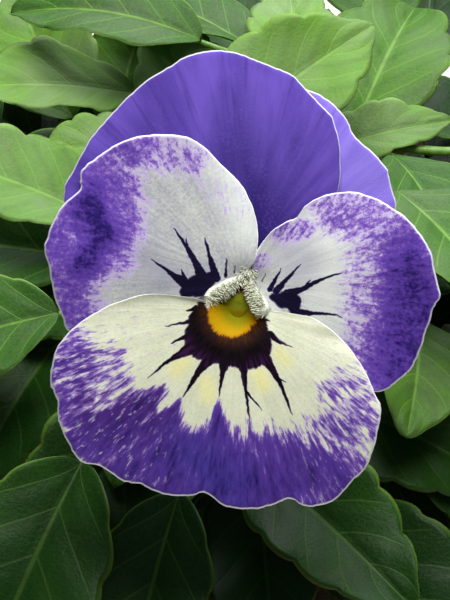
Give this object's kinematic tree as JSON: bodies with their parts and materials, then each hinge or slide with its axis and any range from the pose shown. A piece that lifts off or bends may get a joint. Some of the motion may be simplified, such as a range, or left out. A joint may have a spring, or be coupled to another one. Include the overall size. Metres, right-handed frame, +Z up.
{
  "type": "potted viola",
  "caption": "Viola in a plain clay pot: one open bloom above a mound of scalloped leaves on separate stems, in potting mix.",
  "frame": {"origin": "centre of the pot's flat foot, at the level that the pot stands on", "axes": "+Z up, along the pot's axis; -Y towards the front, where the bloom faces; +X to the viewer's right"},
  "size_m": [0.1149, 0.1262, 0.1505],
  "materials": {
    "terracotta": "matte",
    "potting_mix": "rough",
    "leaf_green": "satin",
    "petal_violet": "velvety",
    "petal_white": "velvety",
    "petal_cream": "velvety",
    "pistil_green": "satin",
    "anther_orange": "matte"
  },
  "bodies": {
    "root": {"pot": "terracotta", "potting_mix": "potting_mix", "flowering_stem": "leaf_green", "leafy_stem_01": "leaf_green", "leafy_stem_02": "leaf_green", "leafy_stem_03": "leaf_green", "leafy_stem_04": "leaf_green", "leafy_stem_05": "leaf_green", "leafy_stem_06": "leaf_green", "leafy_stem_07": "leaf_green", "leafy_stem_08": "leaf_green", "leafy_stem_09": "leaf_green", "leafy_stem_10": "leaf_green", "leafy_stem_11": "leaf_green", "petal_upper_left": "petal_violet", "petal_upper_right": "petal_violet", "petal_side_left": "petal_white", "petal_side_right": "petal_white", "petal_lower": "petal_cream", "pistil": "pistil_green", "stamens": "anther_orange"}
  },
  "joints": []
}
